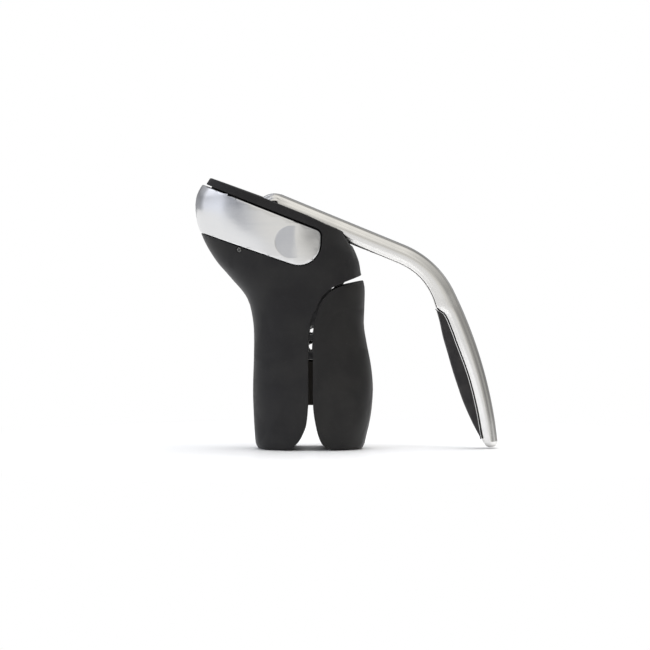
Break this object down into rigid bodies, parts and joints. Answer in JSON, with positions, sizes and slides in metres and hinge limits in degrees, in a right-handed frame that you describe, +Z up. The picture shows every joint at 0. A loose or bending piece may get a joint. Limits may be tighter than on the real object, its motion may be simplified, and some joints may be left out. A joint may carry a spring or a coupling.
{
  "type": "lever corkscrew",
  "caption": "Upright lever corkscrew with a two-grip body, a fold-over handle geared to a crank and travelling worm, and a pull-off foil cutter around its nose.",
  "frame": {"origin": "centre of the whole object's footprint box, on the surface that it stands on", "axes": "+X from the nose to the folded lever, +Y across the two case halves, +Z up"},
  "size_m": [0.1984, 0.0568, 0.177],
  "materials": {
    "case_plastic": "soft-touch satin charcoal",
    "jaw_plastic": "soft-touch satin charcoal",
    "neck_rubber": "matte",
    "grip_rubber": "soft matte",
    "lever_metal": "satin",
    "cutter_metal": "satin",
    "inner_nylon": "moulded",
    "bearing_plastic": "moulded",
    "frame_steel": "black oxide",
    "bright_steel": "ground"
  },
  "bodies": {
    "casing": {"casing_near": "case_plastic", "casing_far": "case_plastic", "frame_plate_near": "frame_steel", "frame_plate_far": "frame_steel", "frame_spacer": "bright_steel", "guide_bridge": "bright_steel", "guide_rod_near": "bright_steel", "guide_rod_far": "bright_steel", "nut_block": "inner_nylon", "worm_nut": "bearing_plastic", "neck_liner": "neck_rubber", "lever_axle": "bright_steel", "lever_bush_near": "bearing_plastic", "lever_bush_far": "bearing_plastic", "crank_axle": "bright_steel", "crank_washer_near": "bearing_plastic", "crank_washer_far": "bearing_plastic", "jaw_bracket": "frame_steel", "jaw_hinge_pin": "bright_steel", "jaw_spring": "bright_steel", "cross_pin": "bright_steel", "case_screw_1": "bright_steel", "case_screw_2": "bright_steel", "case_screw_3": "bright_steel", "case_screw_4": "bright_steel"},
    "jaw": {"jaw_shell": "jaw_plastic", "jaw_backing": "frame_steel", "jaw_pad": "neck_rubber"},
    "lever": {"lever_arm": "lever_metal", "lever_pinion": "bright_steel", "grip_pad": "grip_rubber"},
    "crank": {"crank_gear": "bright_steel", "crank_plate_near": "frame_steel", "crank_plate_far": "frame_steel", "crank_pin_near": "bright_steel", "crank_pin_far": "bright_steel"},
    "link": {"link_near": "frame_steel", "link_far": "frame_steel"},
    "carriage": {"carriage": "bright_steel", "carriage_pin_near": "bright_steel", "carriage_pin_far": "bright_steel", "thrust_washer": "bearing_plastic"},
    "worm": {"worm": "bright_steel", "worm_collar": "frame_steel"},
    "foil_cutter": {"foil_cutter_shell": "cutter_metal", "foil_cutter_liner": "inner_nylon", "wheel_pin_1": "bright_steel", "wheel_pin_2": "bright_steel", "wheel_pin_3": "bright_steel", "wheel_pin_4": "bright_steel"},
    "cutting_wheel_1": {"cutting_wheel_1": "bright_steel"},
    "cutting_wheel_2": {"cutting_wheel_2": "bright_steel"},
    "cutting_wheel_3": {"cutting_wheel_3": "bright_steel"},
    "cutting_wheel_4": {"cutting_wheel_4": "bright_steel"}
  },
  "joints": [
    {"name": "lever_hinge", "type": "hinge", "parent": "casing", "child": "lever", "pos_m": [-0.0474, 0, 0.15384], "axis": [0, -1, 0], "range_deg": [0, 144]},
    {"name": "crank_hinge", "type": "hinge", "parent": "casing", "child": "crank", "pos_m": [-0.0501, 0, 0.1309], "axis": [0, -1, 0], "range_deg": [-72, 0]},
    {"name": "link_pivot", "type": "hinge", "parent": "crank", "child": "link", "pos_m": [-0.01898, 0, 0.12541], "axis": [0, -1, 0], "range_deg": [0, 144]},
    {"name": "carriage_pivot", "type": "hinge", "parent": "link", "child": "carriage", "pos_m": [-0.0501, 0, 0.11993], "axis": [0, -1, 0], "range_deg": [-72, 0]},
    {"name": "worm_spin", "type": "hinge", "parent": "carriage", "child": "worm", "pos_m": [-0.0241, 0, 0.118], "axis": [0, 0, -1], "range_deg": [0, 1858]},
    {"name": "jaw_hinge", "type": "hinge", "parent": "casing", "child": "jaw", "pos_m": [0.0021, 0, 0.0858], "axis": [0, 1, 0], "range_deg": [0, 2.2], "stiffness_Nm_per_rad": 1, "springref_deg": -11.46},
    {"name": "foil_cutter_slide", "type": "slide", "parent": "casing", "child": "foil_cutter", "axis": [-0.9385, 0, 0.3453], "range_m": [0, 0.09]},
    {"name": "wheel_spin_1", "type": "hinge", "parent": "foil_cutter", "child": "cutting_wheel_1", "pos_m": [-0.0461, -0.0207, 0.13928], "axis": [0.3453, 0, 0.9385], "continuous": true},
    {"name": "wheel_spin_2", "type": "hinge", "parent": "foil_cutter", "child": "cutting_wheel_2", "pos_m": [-0.0341, -0.0207, 0.13486], "axis": [0.3453, 0, 0.9385], "continuous": true},
    {"name": "wheel_spin_3", "type": "hinge", "parent": "foil_cutter", "child": "cutting_wheel_3", "pos_m": [-0.0461, 0.0207, 0.13928], "axis": [0.3453, 0, 0.9385], "continuous": true},
    {"name": "wheel_spin_4", "type": "hinge", "parent": "foil_cutter", "child": "cutting_wheel_4", "pos_m": [-0.0341, 0.0207, 0.13486], "axis": [0.3453, 0, 0.9385], "continuous": true}
  ],
  "couplings": [
    {"joint": "crank_hinge", "follows": "lever_hinge", "ratio": -0.5},
    {"joint": "link_pivot", "follows": "lever_hinge", "ratio": 1},
    {"joint": "carriage_pivot", "follows": "lever_hinge", "ratio": -0.5},
    {"joint": "worm_spin", "follows": "lever_hinge", "ratio": 12.9}
  ]
}
